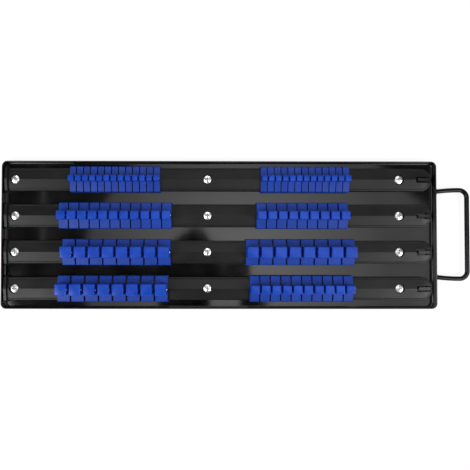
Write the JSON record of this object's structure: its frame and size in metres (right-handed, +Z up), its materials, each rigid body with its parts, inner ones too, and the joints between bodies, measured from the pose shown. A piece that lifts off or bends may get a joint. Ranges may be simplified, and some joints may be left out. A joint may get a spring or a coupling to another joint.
{
  "type": "socket organizer tray",
  "caption": "Shallow black steel tray with a wire handle and moulded rails; blue spring-ball clips for small, middle and large drives slide along each rail.",
  "frame": {"origin": "centre of the tray's underside", "axes": "+X along the tray to the handle, +Y across it to the row of smallest clips, +Z up"},
  "size_m": [0.5089, 0.16, 0.0226],
  "materials": {
    "tray_paint": "glossy black baked paint",
    "handle_paint": "glossy black baked paint",
    "rail_plastic": "satin black moulded plastic",
    "clip_plastic": "satin blue moulded plastic",
    "ball_steel": "polished steel ball",
    "spring_steel": "spring wire",
    "screw_steel": "bright zinc plate"
  },
  "bodies": {
    "tray": {"tray": "tray_paint", "handle": "handle_paint", "rail_1": "rail_plastic", "rail_2": "rail_plastic", "rail_3": "rail_plastic", "rail_4": "rail_plastic", "rail_screws": "screw_steel"},
    "stop_tongue_1": {"stop_tongue_1": "rail_plastic"},
    "stop_tongue_2": {"stop_tongue_2": "rail_plastic"},
    "stop_tongue_3": {"stop_tongue_3": "rail_plastic"},
    "stop_tongue_4": {"stop_tongue_4": "rail_plastic"},
    "row1_left_clips": {"row1_left_clips": "clip_plastic", "row1_left_springs": "spring_steel"},
    "row1_left_lead_clip": {"row1_left_lead_clip": "clip_plastic", "row1_left_lead_spring": "spring_steel"},
    "row1_left_balls": {"row1_left_balls": "ball_steel"},
    "row1_left_lead_ball": {"row1_left_lead_ball": "ball_steel"},
    "row1_right_clips": {"row1_right_clips": "clip_plastic", "row1_right_springs": "spring_steel"},
    "row1_right_lead_clip": {"row1_right_lead_clip": "clip_plastic", "row1_right_lead_spring": "spring_steel"},
    "row1_right_balls": {"row1_right_balls": "ball_steel"},
    "row1_right_lead_ball": {"row1_right_lead_ball": "ball_steel"},
    "row2_left_clips": {"row2_left_clips": "clip_plastic", "row2_left_springs": "spring_steel"},
    "row2_left_lead_clip": {"row2_left_lead_clip": "clip_plastic", "row2_left_lead_spring": "spring_steel"},
    "row2_left_balls": {"row2_left_balls": "ball_steel"},
    "row2_left_lead_ball": {"row2_left_lead_ball": "ball_steel"},
    "row2_right_clips": {"row2_right_clips": "clip_plastic", "row2_right_springs": "spring_steel"},
    "row2_right_lead_clip": {"row2_right_lead_clip": "clip_plastic", "row2_right_lead_spring": "spring_steel"},
    "row2_right_balls": {"row2_right_balls": "ball_steel"},
    "row2_right_lead_ball": {"row2_right_lead_ball": "ball_steel"},
    "row3_left_clips": {"row3_left_clips": "clip_plastic", "row3_left_springs": "spring_steel"},
    "row3_left_lead_clip": {"row3_left_lead_clip": "clip_plastic", "row3_left_lead_spring": "spring_steel"},
    "row3_left_balls": {"row3_left_balls": "ball_steel"},
    "row3_left_lead_ball": {"row3_left_lead_ball": "ball_steel"},
    "row3_right_clips": {"row3_right_clips": "clip_plastic", "row3_right_springs": "spring_steel"},
    "row3_right_lead_clip": {"row3_right_lead_clip": "clip_plastic", "row3_right_lead_spring": "spring_steel"},
    "row3_right_balls": {"row3_right_balls": "ball_steel"},
    "row3_right_lead_ball": {"row3_right_lead_ball": "ball_steel"},
    "row4_left_clips": {"row4_left_clips": "clip_plastic", "row4_left_springs": "spring_steel"},
    "row4_left_lead_clip": {"row4_left_lead_clip": "clip_plastic", "row4_left_lead_spring": "spring_steel"},
    "row4_left_balls": {"row4_left_balls": "ball_steel"},
    "row4_left_lead_ball": {"row4_left_lead_ball": "ball_steel"},
    "row4_right_clips": {"row4_right_clips": "clip_plastic", "row4_right_springs": "spring_steel"},
    "row4_right_lead_clip": {"row4_right_lead_clip": "clip_plastic", "row4_right_lead_spring": "spring_steel"},
    "row4_right_balls": {"row4_right_balls": "ball_steel"},
    "row4_right_lead_ball": {"row4_right_lead_ball": "ball_steel"}
  },
  "joints": [
    {"name": "stop_tongue_1_press", "type": "hinge", "parent": "tray", "child": "stop_tongue_1", "pos_m": [0.22955, 0.0604, 0.00451], "axis": [0, -1, 0], "range_deg": [0, 8], "stiffness_Nm_per_rad": 0.5},
    {"name": "stop_tongue_2_press", "type": "hinge", "parent": "tray", "child": "stop_tongue_2", "pos_m": [0.22955, 0.0208, 0.00451], "axis": [0, -1, 0], "range_deg": [0, 8], "stiffness_Nm_per_rad": 0.5},
    {"name": "stop_tongue_3_press", "type": "hinge", "parent": "tray", "child": "stop_tongue_3", "pos_m": [0.22955, -0.0188, 0.00451], "axis": [0, -1, 0], "range_deg": [0, 8], "stiffness_Nm_per_rad": 0.5},
    {"name": "stop_tongue_4_press", "type": "hinge", "parent": "tray", "child": "stop_tongue_4", "pos_m": [0.22955, -0.0584, 0.00451], "axis": [0, -1, 0], "range_deg": [0, 8], "stiffness_Nm_per_rad": 0.5},
    {"name": "row1_left_clips_slide", "type": "slide", "parent": "tray", "child": "row1_left_clips", "axis": [1, 0, 0], "range_m": [-0.0669, 0]},
    {"name": "row1_left_lead_clip_slide", "type": "slide", "parent": "tray", "child": "row1_left_lead_clip", "axis": [1, 0, 0], "range_m": [0, 0.0541]},
    {"name": "row1_left_balls_press", "type": "slide", "parent": "row1_left_clips", "child": "row1_left_balls", "axis": [-1, 0, 0], "range_m": [0, 0.00042], "stiffness_N_per_m": 9600, "springref_m": -0.0003, "deforming": ["row1_left_springs"]},
    {"name": "row1_left_lead_ball_press", "type": "slide", "parent": "row1_left_lead_clip", "child": "row1_left_lead_ball", "axis": [-1, 0, 0], "range_m": [0, 0.00042], "stiffness_N_per_m": 800, "springref_m": -0.0003, "deforming": ["row1_left_lead_spring"]},
    {"name": "row1_right_clips_slide", "type": "slide", "parent": "tray", "child": "row1_right_clips", "axis": [1, 0, 0], "range_m": [0, 0.0746]},
    {"name": "row1_right_lead_clip_slide", "type": "slide", "parent": "tray", "child": "row1_right_lead_clip", "axis": [1, 0, 0], "range_m": [-0.0541, 0]},
    {"name": "row1_right_balls_press", "type": "slide", "parent": "row1_right_clips", "child": "row1_right_balls", "axis": [-1, 0, 0], "range_m": [0, 0.00042], "stiffness_N_per_m": 9600, "springref_m": -0.0003, "deforming": ["row1_right_springs"]},
    {"name": "row1_right_lead_ball_press", "type": "slide", "parent": "row1_right_lead_clip", "child": "row1_right_lead_ball", "axis": [-1, 0, 0], "range_m": [0, 0.00042], "stiffness_N_per_m": 800, "springref_m": -0.0003, "deforming": ["row1_right_lead_spring"]},
    {"name": "row2_left_clips_slide", "type": "slide", "parent": "tray", "child": "row2_left_clips", "axis": [1, 0, 0], "range_m": [-0.055, 0]},
    {"name": "row2_left_lead_clip_slide", "type": "slide", "parent": "tray", "child": "row2_left_lead_clip", "axis": [1, 0, 0], "range_m": [0, 0.0454]},
    {"name": "row2_left_balls_press", "type": "slide", "parent": "row2_left_clips", "child": "row2_left_balls", "axis": [-1, 0, 0], "range_m": [0, 0.00066], "stiffness_N_per_m": 15000, "springref_m": -0.0003, "deforming": ["row2_left_springs"]},
    {"name": "row2_left_lead_ball_press", "type": "slide", "parent": "row2_left_lead_clip", "child": "row2_left_lead_ball", "axis": [-1, 0, 0], "range_m": [0, 0.00066], "stiffness_N_per_m": 1500, "springref_m": -0.0003, "deforming": ["row2_left_lead_spring"]},
    {"name": "row2_right_clips_slide", "type": "slide", "parent": "tray", "child": "row2_right_clips", "axis": [1, 0, 0], "range_m": [0, 0.0761]},
    {"name": "row2_right_lead_clip_slide", "type": "slide", "parent": "tray", "child": "row2_right_lead_clip", "axis": [1, 0, 0], "range_m": [-0.0454, 0]},
    {"name": "row2_right_balls_press", "type": "slide", "parent": "row2_right_clips", "child": "row2_right_balls", "axis": [-1, 0, 0], "range_m": [0, 0.00066], "stiffness_N_per_m": 12000, "springref_m": -0.0003, "deforming": ["row2_right_springs"]},
    {"name": "row2_right_lead_ball_press", "type": "slide", "parent": "row2_right_lead_clip", "child": "row2_right_lead_ball", "axis": [-1, 0, 0], "range_m": [0, 0.00066], "stiffness_N_per_m": 1500, "springref_m": -0.0003, "deforming": ["row2_right_lead_spring"]},
    {"name": "row3_left_clips_slide", "type": "slide", "parent": "tray", "child": "row3_left_clips", "axis": [1, 0, 0], "range_m": [-0.0591, 0]},
    {"name": "row3_left_lead_clip_slide", "type": "slide", "parent": "tray", "child": "row3_left_lead_clip", "axis": [1, 0, 0], "range_m": [0, 0.0399]},
    {"name": "row3_left_balls_press", "type": "slide", "parent": "row3_left_clips", "child": "row3_left_balls", "axis": [-1, 0, 0], "range_m": [0, 0.00086], "stiffness_N_per_m": 17500, "springref_m": -0.0003, "deforming": ["row3_left_springs"]},
    {"name": "row3_left_lead_ball_press", "type": "slide", "parent": "row3_left_lead_clip", "child": "row3_left_lead_ball", "axis": [-1, 0, 0], "range_m": [0, 0.00086], "stiffness_N_per_m": 2500, "springref_m": -0.0003, "deforming": ["row3_left_lead_spring"]},
    {"name": "row3_right_clips_slide", "type": "slide", "parent": "tray", "child": "row3_right_clips", "axis": [1, 0, 0], "range_m": [0, 0.0687]},
    {"name": "row3_right_lead_clip_slide", "type": "slide", "parent": "tray", "child": "row3_right_lead_clip", "axis": [1, 0, 0], "range_m": [-0.0399, 0]},
    {"name": "row3_right_balls_press", "type": "slide", "parent": "row3_right_clips", "child": "row3_right_balls", "axis": [-1, 0, 0], "range_m": [0, 0.00086], "stiffness_N_per_m": 17500, "springref_m": -0.0003, "deforming": ["row3_right_springs"]},
    {"name": "row3_right_lead_ball_press", "type": "slide", "parent": "row3_right_lead_clip", "child": "row3_right_lead_ball", "axis": [-1, 0, 0], "range_m": [0, 0.00086], "stiffness_N_per_m": 2500, "springref_m": -0.0003, "deforming": ["row3_right_lead_spring"]},
    {"name": "row4_left_clips_slide", "type": "slide", "parent": "tray", "child": "row4_left_clips", "axis": [1, 0, 0], "range_m": [-0.054, 0]},
    {"name": "row4_left_lead_clip_slide", "type": "slide", "parent": "tray", "child": "row4_left_lead_clip", "axis": [1, 0, 0], "range_m": [0, 0.0436]},
    {"name": "row4_left_balls_press", "type": "slide", "parent": "row4_left_clips", "child": "row4_left_balls", "axis": [-1, 0, 0], "range_m": [0, 0.00086], "stiffness_N_per_m": 17500, "springref_m": -0.0003, "deforming": ["row4_left_springs"]},
    {"name": "row4_left_lead_ball_press", "type": "slide", "parent": "row4_left_lead_clip", "child": "row4_left_lead_ball", "axis": [-1, 0, 0], "range_m": [0, 0.00086], "stiffness_N_per_m": 2500, "springref_m": -0.0003, "deforming": ["row4_left_lead_spring"]},
    {"name": "row4_right_clips_slide", "type": "slide", "parent": "tray", "child": "row4_right_clips", "axis": [1, 0, 0], "range_m": [0, 0.0709]},
    {"name": "row4_right_lead_clip_slide", "type": "slide", "parent": "tray", "child": "row4_right_lead_clip", "axis": [1, 0, 0], "range_m": [-0.0436, 0]},
    {"name": "row4_right_balls_press", "type": "slide", "parent": "row4_right_clips", "child": "row4_right_balls", "axis": [-1, 0, 0], "range_m": [0, 0.00066], "stiffness_N_per_m": 13500, "springref_m": -0.0003, "deforming": ["row4_right_springs"]},
    {"name": "row4_right_lead_ball_press", "type": "slide", "parent": "row4_right_lead_clip", "child": "row4_right_lead_ball", "axis": [-1, 0, 0], "range_m": [0, 0.00066], "stiffness_N_per_m": 1500, "springref_m": -0.0003, "deforming": ["row4_right_lead_spring"]}
  ]
}
